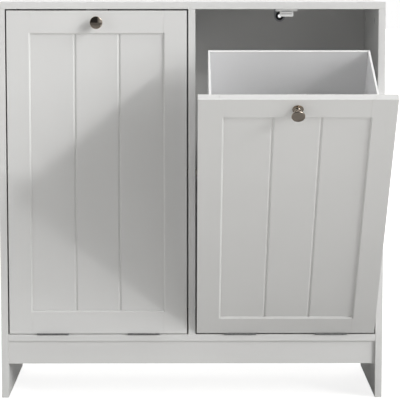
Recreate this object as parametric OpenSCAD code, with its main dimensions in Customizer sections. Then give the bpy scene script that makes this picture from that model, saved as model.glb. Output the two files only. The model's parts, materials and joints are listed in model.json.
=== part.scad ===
// Two-compartment cabinet with tilt-out doors and a fixed bin behind each door.
// X runs to the right, Y runs to the back and Z runs up, in millimetres.
// The left door is closed and the right door stands open against its stays.

/* [Carcass] */
// Overall width across the side panels
cabinet_w = 820; // [700:5:1000]
// Overall height from the floor to the top face
cabinet_h = 850; // [780:5:950]
// Depth of the side panels and the top panel
cabinet_d = 350; // [330:5:450]
// Thickness of the carcass boards
board_t = 15; // [15:1:19]
// Height of the bottom panel's underside above the floor
leg_h = 123.5; // [100:0.5:150]
// Height of the plinth board under the bottom panel
plinth_h = 50; // [40:1:80]
// Distance from the front edges back to the plinth board
plinth_setback = 6; // [0:1:20]
// Thickness of the back panel
back_t = 4; // [3:0.5:6]
// Distance from the rear edges forward to the back panel
back_inset = 9; // [6:1:15]
// Depth of the groove that holds the back panel
back_groove = 6; // [4:0.5:8]

/* [Doors] */
// Thickness of the stiles and rails
door_t = 15; // [15:1:18]
// Gap beside and above each door
door_gap = 3; // [2:0.5:4]
// Gap under each door, filled by the two hinge leaves
hinge_gap = 1.5; // [1.3:0.1:2]
// Width of the stiles and rails
member_w = 50; // [40:1:70]
// Depth of the grooves and the length of the stub tenons in them
groove_d = 8; // [6:0.5:10]
// Thickness of the recessed panel and of the tenons
panel_t = 6; // [4:0.5:7]
// Step from the frame's face back to the panel
panel_recess = 4.5; // [3:0.5:6]
// Bevel along the frame's inner front edge
bevel = 3; // [1:0.5:3]
// Number of planks that the grooved panel shows
plank_count = 3; // [2:1:5]
// Width of a V groove between two planks
v_groove_w = 7; // [3:0.5:9]
// Depth of a V groove between two planks
v_groove_d = 3; // [1:0.5:3.5]
// Angle at which the stays stop an opening door
open_angle = 40; // [15:1:45]

/* [Knobs] */
// Diameter of the mushroom head
knob_head_d = 27; // [22:0.5:34]
// Diameter of the foot that meets the door
knob_foot_d = 22; // [18:0.5:24]
// Diameter of the neck
knob_neck_d = 10; // [9:0.5:12]
// Distance from the door's face to the top of the dome
knob_projection = 24; // [20:0.5:28]
// Distance from the door's top edge down to the knob's axis
knob_drop = 25; // [20:0.5:30]

/* [Bins] */
// Space between a bin and the carcass wall beside it
bin_side_gap = 26.25; // [24:0.25:40]
// Space between a closed bin and the back panel
bin_back_gap = 14; // [8:1:40]
// Height of the bin's underside above the door's bottom edge
bin_lift = 12; // [8:1:30]
// Distance from the door's top edge down to the rim at the door
bin_rim_drop = 60.5; // [50:0.5:120]
// Fall of the rim from the door to the bin's back, in degrees
bin_rim_fall = 19; // [10:1:25]
// Thickness of the bin's boards
bin_t = 4; // [3:0.5:6]
// Thickness of the band on the bin's top edges
band_t = 0.6; // [0.4:0.1:1]
// Leg width of the angle strips inside the bin's front corners
strip_w = 15; // [12:1:20]
// Thickness of the angle strips
strip_t = 1.2; // [1:0.1:2]

/* [Hinges] */
// Length of one hinge
hinge_l = 68; // [50:1:80]
// Distance from the door's middle to a hinge's middle
hinge_offset = 97.5; // [60:0.5:110]
// Outer radius of the knuckles
knuckle_r = 2; // [1.8:0.1:2.5]
// Radius of the hinge pin
hinge_pin_r = 1.1; // [0.8:0.05:1.2]
// Width of a hinge leaf, front to back
leaf_w = 13; // [11:0.5:14]

/* [Stays] */
// Distance from the front edges back to the stay pins
stay_pin_back = 27; // [26:0.5:40]
// Width of the arc-shaped stay plate
stay_w = 20; // [18:1:26]
// Thickness of the stay plate and its flange
stay_t = 2; // [1.5:0.5:3]
// Outer diameter of the sleeve that runs in the stay's slot
sleeve_d = 8; // [7:0.5:9]
// Gap between the sleeve and each edge of the slot
slot_play = 0.4; // [0.3:0.1:0.6]

/* [Catches] */
// Width of the catch's body
catch_w = 28; // [24:1:34]
// Height of the catch's body below the top panel
catch_h = 16; // [14:0.5:18]
// Depth of the catch's body
catch_d = 15; // [14:0.5:20]
// Width across the catch's two ears
catch_ear_w = 46; // [44:1:54]
// Thickness of the ears
catch_ear_t = 5; // [3:0.5:6]

/* [Wall fixing] */
// Width of the wall bracket
bracket_w = 26; // [24:1:36]
// Distance from the top panel down to the wall screw's axis
bracket_drop = 21; // [18:0.5:30]
// Radius of the wall screw's hole
wall_hole_r = 4; // [3:0.25:5]

/* [Hidden] */
$fn = 48;
skin = 0.01;
white_paint = [0.86, 0.855, 0.84];
white_board = [0.84, 0.84, 0.83];
white_plastic = [0.9, 0.9, 0.88];
pale_nylon = [0.82, 0.8, 0.74];
steel = [0.62, 0.62, 0.62];
nickel = [0.72, 0.7, 0.68];
beech = [0.76, 0.62, 0.44];
black = [0.04, 0.04, 0.04];

// Directions for things that are driven in, from their own +Z
upward = [0, 0, 0];
downward = [180, 0, 0];
forward = [90, 0, 0];
rightward = [0, 90, 0];
leftward = [0, -90, 0];

// Carcass levels and spans
side_in = cabinet_w / 2 - board_t;
side_mid = cabinet_w / 2 - board_t / 2;
top_z = cabinet_h - board_t;
floor_z = leg_h + board_t;
inner_d = cabinet_d - back_inset - back_t;
compartment_w = side_in - board_t / 2;
compartment_x = (side_in + board_t / 2) / 2;

// Door sizes, with the door's middle at x = 0 and its face at y = 0
door_w = compartment_w - 2 * door_gap;
door_z = floor_z + hinge_gap;
door_top = top_z - door_gap;
door_h = door_top - door_z;
opening_w = door_w - 2 * member_w;
opening_h = door_h - 2 * member_w;
groove_end = 0.5;
panel_back = panel_recess + panel_t;
knob_z = door_top - knob_drop;

// Hinge axis, just in front of the carcass
axis_y = -knuckle_r - 0.3;
axis_z = floor_z + hinge_gap / 2;
hinge_bore_r = hinge_pin_r + 0.05;
leaf_t = hinge_gap / 2 - 0.05;
knuckle_gap = 0.4;
knuckle_l = (hinge_l - 2 * knuckle_gap) / 3;
leaf_screw_y = leaf_w * 0.6;
frame_screw_x = hinge_l * 0.34;
door_screw_x = hinge_l * 0.18;

// The front reach of the open door, which centres the frame on the whole
knob_rim_r = 2.2;
knob_rim_y = knob_projection - 4;
front_reach = (knob_z + knob_head_d / 2 - knob_rim_r - axis_z) * sin(open_angle)
    + (knob_rim_y + axis_y) * cos(open_angle) + knob_rim_r - axis_y;
front_y = (front_reach - cabinet_d) / 2;

// Bin sizes, in the closed door's place
bin_w = compartment_w - 2 * bin_side_gap;
bin_in = bin_w / 2 - bin_t;
bin_z = door_z + bin_lift;
bin_y0 = door_t;
bin_y1 = inner_d - bin_back_gap;
rim_front_z = door_top - bin_rim_drop;
rim_back_z = rim_front_z - (bin_y1 - bin_y0) * tan(bin_rim_fall);
band_rise = band_t / cos(bin_rim_fall);
strip_z0 = bin_z + bin_t + 4;
strip_z1 = rim_front_z - 20;
strip_l = strip_z1 - strip_z0;

// Stay arc about the hinge axis
stay_pin_z = door_z + door_h / 2;
stay_r = norm([stay_pin_back - axis_y, stay_pin_z - axis_z]);
stay_lag = atan2(stay_pin_back - axis_y, stay_pin_z - axis_z);
slot_r = sleeve_d / 2 + slot_play;
slot_over = slot_play / stay_r * 180 / PI;
stay_x1 = door_w / 2 - 5.75;
stay_x0 = stay_x1 - stay_t;
stay_flange_w = 14;
stay_flange_h = 50;
sleeve_collar_r = 7;
sleeve_gap = 1;
stay_bolt_r = 2.5;
stay_head_r = 6;
stay_head_t = 2;
stay_embed = board_t / 2 - 0.5;

// Catch, strike plate and magnet
strike_t = 1.2;
strike_w = 36;
strike_h = 11;
strike_z = door_top - 0.5 - strike_h;
pole_y = door_t + strike_t;
pole_proud = 0.8;
catch_y = pole_y + pole_proud;
pole_w = 22;
pole_t = 1.2;
pole_l = catch_d - 1.5;
pole_drop_1 = 4.3;
pole_drop_2 = 9.9;
magnet_t = pole_drop_2 - pole_drop_1 - pole_t;
magnet_w = 20;
magnet_l = 10;
magnet_cover = 2;

// Fasteners
screw_r = 1.5;
screw_head_r = 2.9;
screw_head_h = 1.4;
screw_l = 14;
short_screw_l = 11;
fit = 0.05;
cam_r = 7.4;
cam_t = 12;
cam_offset = 26;
cam_bolt_r = 3;
cam_bolt_in = 11;
dowel_r = 4;
dowel_in = 11;
dowel_out = 19;
nail_r = 0.9;
nail_l = 20;
nail_head_r = 2.4;
nail_head_t = 0.8;
knob_screw_r = 2;
knob_screw_in = 11;
knob_screw_head_r = 4.2;
knob_screw_head_t = 2.4;
rivet_r = 1.6;
rivet_head_r = 3.2;
rivet_head_t = 0.9;

// Rows of joints along the boards
cam_rows = [86, inner_d - 32];
low_cam_rows = [60, inner_d - 50];
dowel_rows = [40, inner_d / 2];
divider_dowel_rows = [60, inner_d - 60];
plinth_dowel_y = plinth_setback + board_t / 2;
plinth_dowel_z = leg_h - plinth_h / 2;
nail_edge = 50;
divider_nail_count = 5;
bottom_nail_count = 6;

// Wall bracket
bracket_t = 2;
bracket_leg = 32;
bracket_screw_y = inner_d - 20;
washer_r = 9.4;
washer_t = 2;

// Places and small shapes

// Carcass place: the front edges' plane goes to front_y
module in_carcass() {
    translate([0, front_y, 0]) children();
}

// Door place: side is -1 for the left door and 1 for the right door
module on_door(side) {
    angle = side > 0 ? open_angle : 0;
    translate([side * compartment_x, front_y + axis_y, axis_z])
        rotate([angle, 0, 0])
            translate([0, -axis_y, -axis_z]) children();
}

module box(x0, x1, y0, y1, z0, z1) {
    translate([x0, y0, z0]) cube([x1 - x0, y1 - y0, z1 - z0]);
}

// A box on the given side of x = 0, from the nearer to the farther distance
module side_box(side, near, far, y0, y1, z0, z1) {
    if (side < 0)
        box(-far, -near, y0, y1, z0, z1);
    else
        box(near, far, y0, y1, z0, z1);
}

function arc_points(centre, r, from, to, steps) = [
    for (i = [0:steps])
        let (a = from + (to - from) * i / steps)
            [centre[0] + r * cos(a), centre[1] + r * sin(a)]
];

// A countersunk screw with its flat head at z = 0 and its tip towards +Z
module flush_screw(length, grow = 0) {
    cylinder(h = screw_head_h, r1 = screw_head_r + grow, r2 = screw_r + grow);
    cylinder(h = length - screw_r, r = screw_r + grow);
    translate([0, 0, length - screw_r])
        cylinder(h = screw_r, r1 = screw_r + grow, r2 = 0.3);
}

// The hole for a countersunk screw, open at the head
module flush_screw_hole(length) {
    flush_screw(length, fit);
    translate([0, 0, -skin]) cylinder(h = 2 * skin, r = screw_head_r + fit);
}

// Cam joint: z = 0 is where two boards meet, and the cam's face points to +X
module cam_lock() {
    difference() {
        translate([board_t / 2 - cam_t, 0, -cam_offset])
            rotate(rightward) cylinder(h = cam_t, r = cam_r);
        translate([0, 0, -cam_offset])
            cylinder(h = 2 * cam_r, r = cam_bolt_r + 0.3);
        translate([board_t / 2 - 1.5, -3.5, -cam_offset - 0.7]) cube([3, 7, 1.4]);
        translate([board_t / 2 - 1.5, -0.7, -cam_offset - 3.5]) cube([3, 1.4, 7]);
    }
}

module cam_bolt() {
    translate([0, 0, -cam_offset])
        cylinder(h = cam_offset + cam_bolt_in, r = cam_bolt_r);
}

module cam_joint_cut() {
    translate([board_t / 2 - cam_t, 0, -cam_offset])
        rotate(rightward) cylinder(h = cam_t + skin, r = cam_r + fit);
    translate([0, 0, -cam_offset])
        cylinder(h = cam_offset + skin, r = cam_bolt_r + 0.5);
    cylinder(h = cam_bolt_in, r = cam_bolt_r + fit);
}

module dowel(grow = 0) {
    translate([0, 0, -dowel_out])
        cylinder(h = dowel_out + dowel_in, r = dowel_r + grow);
}

// Places of the cam joints

module at_top_cams(x, face) {
    for (y = cam_rows)
        translate([x, y, top_z])
            rotate([0, 0, face > 0 ? 0 : 180]) children();
}

module at_bottom_cams(side) {
    for (y = low_cam_rows)
        translate([side * side_in, y, leg_h + board_t / 2])
            rotate(side > 0 ? rightward : leftward)
                rotate([0, 0, side > 0 ? 0 : 180]) children();
}

module at_all_cams() {
    at_top_cams(-side_mid, 1) children();
    at_top_cams(side_mid, -1) children();
    at_top_cams(0, -1) children();
    at_bottom_cams(-1) children();
    at_bottom_cams(1) children();
}

// Places of the dowels

module at_top_dowels(x) {
    for (y = dowel_rows)
        translate([x, y, top_z]) children();
}

module at_bottom_dowels(side) {
    translate([side * side_in, inner_d / 2, leg_h + board_t / 2])
        rotate(side > 0 ? rightward : leftward) children();
}

module at_divider_dowels() {
    for (y = divider_dowel_rows)
        translate([0, y, floor_z]) rotate(downward) children();
}

module at_plinth_dowels(side) {
    translate([side * side_in, plinth_dowel_y, plinth_dowel_z])
        rotate(side > 0 ? rightward : leftward) children();
}

module at_all_dowels() {
    for (side = [-1, 1]) {
        at_top_dowels(side * side_mid) children();
        at_bottom_dowels(side) children();
        at_plinth_dowels(side) children();
    }
    at_top_dowels(0) children();
    at_divider_dowels() children();
}

// Places of the nails, screws and pins

module at_back_nails() {
    y = inner_d + back_t;
    low_z = floor_z + nail_edge;
    rise = (top_z - nail_edge - low_z) / (divider_nail_count - 1);
    for (i = [0:divider_nail_count - 1])
        translate([0, y, low_z + i * rise]) rotate(forward) children();
    left_x = nail_edge - side_in;
    step = -2 * left_x / (bottom_nail_count - 1);
    for (i = [0:bottom_nail_count - 1])
        translate([left_x + i * step, y, leg_h + board_t / 2]) rotate(forward) children();
}

module at_compartments() {
    for (side = [-1, 1])
        translate([side * compartment_x, 0, 0]) children();
}

module at_hinges() {
    for (end = [-1, 1])
        translate([end * hinge_offset, 0, 0]) children();
}

module at_frame_hinge_screws() {
    for (end = [-1, 1])
        translate([end * frame_screw_x, leaf_screw_y, floor_z + leaf_t])
            rotate(downward) children();
}

module at_door_hinge_screws() {
    for (end = [-1, 1])
        translate([end * door_screw_x, leaf_screw_y, door_z - leaf_t])
            rotate(upward) children();
}

module at_catch_screws() {
    for (end = [-1, 1])
        translate([end * (catch_ear_w + catch_w) / 4, catch_y + catch_d / 2, top_z - catch_ear_t])
            rotate(upward) children();
}

module at_bracket_screw() {
    translate([0, bracket_screw_y, top_z - bracket_t]) rotate(upward) children();
}

module at_wall_hole() {
    translate([0, inner_d + back_t + 5, top_z - bracket_drop])
        rotate(forward) children();
}

// Stay pins stand on both walls of a compartment, and +Z points into the wall
module at_stay_pins() {
    for (wall = [-1, 1])
        translate([wall * compartment_w / 2, stay_pin_back, stay_pin_z])
            rotate(wall > 0 ? rightward : leftward) children();
}

// Carcass boards

module top_panel() {
    groove_x = side_in + back_groove;
    color(white_paint)
    in_carcass() difference() {
        box(-cabinet_w / 2, cabinet_w / 2, 0, cabinet_d, top_z, cabinet_h);
        box(-groove_x, groove_x, inner_d, inner_d + back_t, top_z - skin, top_z + back_groove);
        at_top_cams(-side_mid, 1) cam_joint_cut();
        at_top_cams(side_mid, -1) cam_joint_cut();
        at_top_cams(0, -1) cam_joint_cut();
        at_top_dowels(-side_mid) dowel(fit);
        at_top_dowels(side_mid) dowel(fit);
        at_top_dowels(0) dowel(fit);
        at_compartments() at_catch_screws() flush_screw_hole(screw_l);
        at_compartments() at_bracket_screw() flush_screw_hole(short_screw_l);
    }
}

module side_panel(side) {
    color(white_paint)
    in_carcass() difference() {
        side_box(side, side_in, cabinet_w / 2, 0, cabinet_d, 0, top_z);
        side_box(side, side_in - skin, side_in + back_groove, inner_d, inner_d + back_t, leg_h, top_z + skin);
        at_top_cams(side * side_mid, -side) cam_joint_cut();
        at_bottom_cams(side) cam_joint_cut();
        at_top_dowels(side * side_mid) dowel(fit);
        at_bottom_dowels(side) dowel(fit);
        at_plinth_dowels(side) dowel(fit);
        translate([side * compartment_x, 0, 0]) at_stay_pins() stay_pin_hole();
    }
}

module center_divider() {
    color(white_paint)
    in_carcass() difference() {
        box(-board_t / 2, board_t / 2, 0, inner_d, floor_z, top_z);
        at_top_cams(0, -1) cam_joint_cut();
        at_top_dowels(0) dowel(fit);
        at_divider_dowels() dowel(fit);
        at_back_nails() nail_hole();
        at_compartments() at_stay_pins() stay_pin_hole();
    }
}

module bottom_panel() {
    color(white_paint)
    in_carcass() difference() {
        box(-side_in, side_in, 0, inner_d, leg_h, floor_z);
        for (side = [-1, 1]) {
            at_bottom_cams(side) cam_joint_cut();
            at_bottom_dowels(side) dowel(fit);
        }
        at_divider_dowels() dowel(fit);
        at_back_nails() nail_hole();
        at_compartments() at_hinges() at_frame_hinge_screws() flush_screw_hole(screw_l);
    }
}

module front_plinth() {
    color(white_paint)
    in_carcass() difference() {
        box(-side_in, side_in, plinth_setback, plinth_setback + board_t, leg_h - plinth_h, leg_h);
        for (side = [-1, 1])
            at_plinth_dowels(side) dowel(fit);
    }
}

module back_panel() {
    reach = back_groove - 0.5;
    color(white_board)
    in_carcass() difference() {
        box(-side_in - reach, side_in + reach, inner_d, inner_d + back_t, leg_h, top_z + reach);
        at_back_nails() nail_hole();
        at_compartments() at_wall_hole() cylinder(h = 20, r = wall_hole_r);
    }
}

// Carcass fittings

module cam_locks() {
    color(steel)
    in_carcass() at_all_cams() cam_lock();
}

module cam_bolts() {
    color(steel)
    in_carcass() at_all_cams() cam_bolt();
}

module wood_dowels() {
    color(beech)
    in_carcass() at_all_dowels() dowel();
}

module nail_hole() {
    cylinder(h = nail_l, r = nail_r + fit);
}

module back_panel_nails() {
    color(steel)
    in_carcass() at_back_nails() {
        translate([0, 0, -nail_head_t]) cylinder(h = nail_head_t, r = nail_head_r);
        cylinder(h = nail_l, r = nail_r);
    }
}

// The two slits that the pole plates show through, and the magnet's pocket
module pole_plates() {
    for (drop = [pole_drop_1, pole_drop_2])
        box(-pole_w / 2, pole_w / 2, pole_y, pole_y + pole_l, top_z - drop - pole_t, top_z - drop);
}

module magnet() {
    z1 = top_z - pole_drop_1 - pole_t;
    y0 = catch_y + magnet_cover;
    box(-magnet_w / 2, magnet_w / 2, y0, y0 + magnet_l, z1 - magnet_t, z1);
}

module catch_housing(side) {
    color(white_plastic)
    in_carcass() translate([side * compartment_x, 0, 0]) difference() {
        union() {
            box(-catch_w / 2, catch_w / 2, catch_y, catch_y + catch_d, top_z - catch_h, top_z);
            box(-catch_ear_w / 2, catch_ear_w / 2, catch_y, catch_y + catch_d, top_z - catch_ear_t, top_z);
        }
        pole_plates();
        magnet();
        at_catch_screws() flush_screw_hole(screw_l);
    }
}

module catch_magnets() {
    color(steel)
    in_carcass() at_compartments() magnet();
}

module catch_pole_plates() {
    color(steel)
    in_carcass() at_compartments() pole_plates();
}

module carcass_screws() {
    color(steel)
    in_carcass() at_compartments() {
        at_catch_screws() flush_screw(screw_l);
        at_bracket_screw() flush_screw(short_screw_l);
        at_hinges() at_frame_hinge_screws() flush_screw(screw_l);
    }
}

module wall_brackets() {
    z0 = top_z - bracket_drop;
    y1 = inner_d;
    color(steel)
    in_carcass() at_compartments() difference() {
        union() {
            box(-bracket_w / 2, bracket_w / 2, y1 - bracket_leg, y1, top_z - bracket_t, top_z);
            box(-bracket_w / 2, bracket_w / 2, y1 - bracket_t, y1, z0, top_z);
            translate([0, y1, z0]) rotate(forward) cylinder(h = bracket_t, r = bracket_w / 2);
        }
        at_wall_hole() cylinder(h = 20, r = wall_hole_r);
        at_bracket_screw() flush_screw_hole(short_screw_l);
    }
}

module wall_bracket_washers() {
    color(black)
    in_carcass() at_compartments() difference() {
        translate([0, inner_d - bracket_t, top_z - bracket_drop])
            rotate(forward) cylinder(h = washer_t, r = washer_r);
        at_wall_hole() cylinder(h = 20, r = wall_hole_r);
    }
}

// Hinges

// A hinge knuckle from x0 to x1, with the strip that joins it to its leaf
module knuckle(x0, x1, leaf_z0) {
    translate([x0, axis_y, axis_z]) rotate(rightward) cylinder(h = x1 - x0, r = knuckle_r);
    box(x0, x1, axis_y, skin, leaf_z0, leaf_z0 + leaf_t);
}

module hinge_bore() {
    translate([-hinge_l, axis_y, axis_z])
        rotate(rightward) cylinder(h = 2 * hinge_l, r = hinge_bore_r);
}

module hinge_frame_leaves() {
    half = hinge_l / 2;
    color(steel)
    in_carcass() at_compartments() at_hinges() difference() {
        union() {
            box(-half, half, 0, leaf_w, floor_z, floor_z + leaf_t);
            knuckle(-half, -half + knuckle_l, floor_z);
            knuckle(half - knuckle_l, half, floor_z);
        }
        hinge_bore();
        at_frame_hinge_screws() flush_screw_hole(screw_l);
    }
}

module hinge_pins() {
    color(steel)
    in_carcass() at_compartments() at_hinges()
        translate([-hinge_l / 2, axis_y, axis_z])
            rotate(rightward) cylinder(h = hinge_l, r = hinge_pin_r);
}

module door_hinge_leaves(side) {
    half = hinge_l / 2;
    leaf_z0 = door_z - leaf_t;
    color(steel)
    on_door(side) at_hinges() difference() {
        union() {
            box(-half, half, 0, leaf_w, leaf_z0, door_z);
            knuckle(-knuckle_l / 2, knuckle_l / 2, leaf_z0);
        }
        hinge_bore();
        at_door_hinge_screws() flush_screw_hole(screw_l);
    }
}

// Stays

module stay_pin_hole() {
    cylinder(h = stay_embed, r = stay_bolt_r + fit);
}

// The bolt's head end lies inside the compartment, on the far side of the stay
module stay_pins() {
    head_in = compartment_w / 2 - stay_x0 + sleeve_gap;
    color(steel)
    in_carcass() at_compartments() at_stay_pins() {
        translate([0, 0, -head_in]) cylinder(h = head_in + stay_embed, r = stay_bolt_r);
        translate([0, 0, -head_in - stay_head_t]) cylinder(h = stay_head_t, r = stay_head_r);
    }
}

module stay_sleeves() {
    sleeve_l = compartment_w / 2 - stay_x0 + sleeve_gap;
    collar_l = compartment_w / 2 - stay_x1 - sleeve_gap;
    color(pale_nylon)
    in_carcass() at_compartments() at_stay_pins() difference() {
        union() {
            translate([0, 0, -sleeve_l]) cylinder(h = sleeve_l, r = sleeve_d / 2);
            translate([0, 0, -collar_l]) cylinder(h = collar_l, r = sleeve_collar_r);
        }
        translate([0, 0, -2 * sleeve_l]) cylinder(h = 3 * sleeve_l, r = stay_bolt_r + fit);
    }
}

// A flat ring sector about the hinge axis, from one lag behind upright to another
module arc_plate(x0, thickness, half_width, lag_from, lag_to) {
    translate([x0, axis_y, axis_z]) rotate([90, 0, 90]) {
        rotate([0, 0, 90 - lag_to])
            rotate_extrude(angle = lag_to - lag_from, $fn = 180)
                translate([stay_r - half_width, 0]) square([2 * half_width, thickness]);
        for (lag = [lag_from, lag_to])
            translate([stay_r * sin(lag), stay_r * cos(lag), 0])
                cylinder(h = thickness, r = half_width);
    }
}

// end is -1 for the door's left side and 1 for its right side
module stay_plate(end) {
    x0 = end < 0 ? -stay_x1 : stay_x0;
    lag_end = stay_lag + open_angle + slot_over;
    difference() {
        arc_plate(x0, stay_t, stay_w / 2, 0, lag_end);
        arc_plate(x0 - 1, stay_t + 2, slot_r, stay_lag - slot_over, lag_end);
        box(-door_w, door_w, -100, door_t, door_z, door_top);
    }
}

module at_stay_screws(end) {
    x = stay_x1 - stay_flange_w * 0.6;
    for (step = [-1, 1])
        translate([end * x, door_t + stay_t, stay_pin_z + step * stay_flange_h * 0.36])
            rotate(forward) children();
}

module door_stay(side, end) {
    z0 = stay_pin_z - stay_flange_h / 2;
    color(steel)
    on_door(side) difference() {
        union() {
            stay_plate(end);
            side_box(end, stay_x1 - stay_flange_w, stay_x1, door_t, door_t + stay_t, z0, z0 + stay_flange_h);
        }
        at_stay_screws(end) flush_screw_hole(short_screw_l);
    }
}

// Doors

// The bevelled mouth of the door's opening, as two crossed wedges
module opening_bevel() {
    over = bevel + 1;
    z_mid = door_z + door_h / 2;
    intersection() {
        translate([0, 0, door_z])
            linear_extrude(height = door_h) polygon([
                [-opening_w / 2 - over, -1], [opening_w / 2 + over, -1],
                [opening_w / 2, bevel], [-opening_w / 2, bevel]
            ]);
        translate([-door_w / 2, 0, z_mid])
            rotate([90, 0, 90]) linear_extrude(height = door_w) polygon([
                [-1, -opening_h / 2 - over], [-1, opening_h / 2 + over],
                [bevel, opening_h / 2], [bevel, -opening_h / 2]
            ]);
    }
}

module at_strip_screws() {
    for (i = [0:2])
        translate([bin_in - strip_w * 0.6, door_t + strip_t, strip_z0 + strip_l * (0.08 + 0.42 * i)])
            rotate(forward) children();
}

module stile(side, end) {
    x0 = opening_w / 2;
    groove_x = x0 + groove_d + groove_end;
    color(white_paint)
    on_door(side) mirror([end < 0 ? 1 : 0, 0, 0]) difference() {
        box(x0, door_w / 2, 0, door_t, door_z, door_top);
        box(x0 - skin, groove_x, panel_recess, panel_back, door_z - skin, door_top + skin);
        opening_bevel();
        at_stay_screws(1) flush_screw_hole(short_screw_l);
        at_strip_screws() flush_screw_hole(short_screw_l);
        at_hinges() at_door_hinge_screws() flush_screw_hole(screw_l);
    }
}

module at_strike_screws() {
    for (end = [-1, 1])
        translate([end * (strike_w / 2 - 4.5), door_t + strike_t, strike_z + strike_h / 2])
            rotate(forward) children();
}

module at_knob() {
    translate([0, 0, knob_z]) rotate(forward) children();
}

// end is 1 for the top rail and -1 for the bottom rail
module rail(side, end) {
    z0 = end < 0 ? door_z : door_top - member_w;
    z1 = z0 + member_w;
    groove_z0 = end < 0 ? z1 - groove_d - groove_end : z0 - skin;
    groove_z1 = end < 0 ? z1 + skin : z0 + groove_d + groove_end;
    tenon_x = opening_w / 2 + groove_d;
    color(white_paint)
    on_door(side) difference() {
        union() {
            box(-opening_w / 2, opening_w / 2, 0, door_t, z0, z1);
            box(-tenon_x, tenon_x, panel_recess, panel_back, z0, z1);
        }
        box(-door_w / 2, door_w / 2, panel_recess, panel_back, groove_z0, groove_z1);
        opening_bevel();
        at_strike_screws() flush_screw_hole(short_screw_l);
        at_hinges() at_door_hinge_screws() flush_screw_hole(screw_l);
        at_knob() translate([0, 0, -door_t - 1]) cylinder(h = door_t + 2, r = knob_screw_r + 0.25);
    }
}

module door_panel(side) {
    half_w = opening_w / 2 + groove_d;
    z0 = door_z + member_w - groove_d;
    plank_w = opening_w / plank_count;
    color(white_paint)
    on_door(side) difference() {
        box(-half_w, half_w, panel_recess, panel_back, z0, z0 + opening_h + 2 * groove_d);
        for (i = [1:plank_count - 1])
            translate([i * plank_w - opening_w / 2, panel_recess, z0 - 1])
                linear_extrude(height = door_h) polygon([
                    [-v_groove_w / 2, -skin], [v_groove_w / 2, -skin], [0, v_groove_d]
                ]);
    }
}

// Half outline of the knob: distance from its axis, height above the door
function knob_outline() =
    let (
        neck_r = knob_neck_d / 2,
        foot_r = knob_foot_d / 2,
        head_r = knob_head_d / 2,
        foot_t = 1.6,
        rim_r = knob_rim_r,
        rim_z = knob_rim_y,
        cove_r = min(foot_r - neck_r - 1, 4.6),
        flare_r = min(head_r - neck_r - rim_r, 5),
        dome_r0 = head_r - rim_r + rim_r * cos(60),
        dome_h = knob_projection - rim_z - rim_r * sin(60),
        dome_r = (dome_r0 * dome_r0 + dome_h * dome_h) / (2 * dome_h),
        dome_a = acos(dome_r0 / dome_r)
    )
    concat(
        [[0, 0], [foot_r - 0.4, 0], [foot_r, 0.4], [foot_r, foot_t - 0.5]],
        arc_points([neck_r + cove_r, foot_t + cove_r], cove_r, 270, 180, 6),
        arc_points([neck_r + flare_r, rim_z - rim_r - flare_r], flare_r, 180, 90, 6),
        arc_points([head_r - rim_r, rim_z], rim_r, -90, 60, 6),
        [for (p = arc_points([0, knob_projection - dome_r], dome_r, dome_a, 90, 8))
            if (p[0] < dome_r0 - 0.5 && p[0] > 0.5) p],
        [[0, knob_projection]]
    );

module knob(side) {
    color(nickel)
    on_door(side) at_knob() difference() {
        rotate_extrude($fn = 72) polygon(knob_outline());
        translate([0, 0, -1]) cylinder(h = knob_screw_in + 1, r = knob_screw_r + fit);
    }
}

module knob_screw(side) {
    color(steel)
    on_door(side) at_knob() {
        translate([0, 0, -door_t]) cylinder(h = door_t + knob_screw_in - 1, r = knob_screw_r);
        translate([0, 0, -door_t - knob_screw_head_t])
            cylinder(h = knob_screw_head_t, r = knob_screw_head_r);
    }
}

module strike_plate(side) {
    color(steel)
    on_door(side) difference() {
        box(-strike_w / 2, strike_w / 2, door_t, door_t + strike_t, strike_z, strike_z + strike_h);
        at_strike_screws() flush_screw_hole(short_screw_l);
    }
}

module at_rivets() {
    for (i = [0:2])
        translate([bin_in - strip_t, door_t + strip_w * 0.6, strip_z0 + strip_l * (0.08 + 0.42 * i)])
            rotate(rightward) children();
}

module rivet() {
    cylinder(h = strip_t + bin_t, r = rivet_r);
    translate([0, 0, -rivet_head_t]) cylinder(h = rivet_head_t, r = rivet_head_r);
    translate([0, 0, strip_t + bin_t]) cylinder(h = rivet_head_t, r = rivet_head_r);
}

module rivet_hole() {
    translate([0, 0, -1]) cylinder(h = strip_t + bin_t + 2, r = rivet_r + fit);
}

module door_fasteners(side) {
    color(steel)
    on_door(side) {
        at_hinges() at_door_hinge_screws() flush_screw(screw_l);
        at_strike_screws() flush_screw(short_screw_l);
        for (end = [0, 1])
            mirror([end, 0, 0]) {
                at_stay_screws(1) flush_screw(short_screw_l);
                at_strip_screws() flush_screw(short_screw_l);
                at_rivets() rivet();
            }
    }
}

// Bins

// The bin side's outline in Y and Z, with the band left off its top edge
module bin_side_outline() {
    polygon([
        [bin_y0, bin_z], [bin_y1, bin_z],
        [bin_y1, rim_back_z - band_rise], [bin_y0, rim_front_z - band_rise]
    ]);
}

module band_outline() {
    polygon([
        [bin_y0, rim_front_z - band_rise], [bin_y1, rim_back_z - band_rise],
        [bin_y1, rim_back_z], [bin_y0, rim_front_z]
    ]);
}

module bin_side(side, end) {
    color(white_board)
    on_door(side) mirror([end < 0 ? 1 : 0, 0, 0]) difference() {
        translate([bin_in, 0, 0])
            rotate([90, 0, 90]) linear_extrude(height = bin_t) bin_side_outline();
        at_rivets() rivet_hole();
    }
}

module bin_back(side) {
    color(white_board)
    on_door(side) box(-bin_in, bin_in, bin_y1 - bin_t, bin_y1, bin_z, rim_back_z - band_t);
}

module bin_base(side) {
    color(white_board)
    on_door(side) box(-bin_in, bin_in, bin_y0, bin_y1 - bin_t, bin_z, bin_z + bin_t);
}

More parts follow.
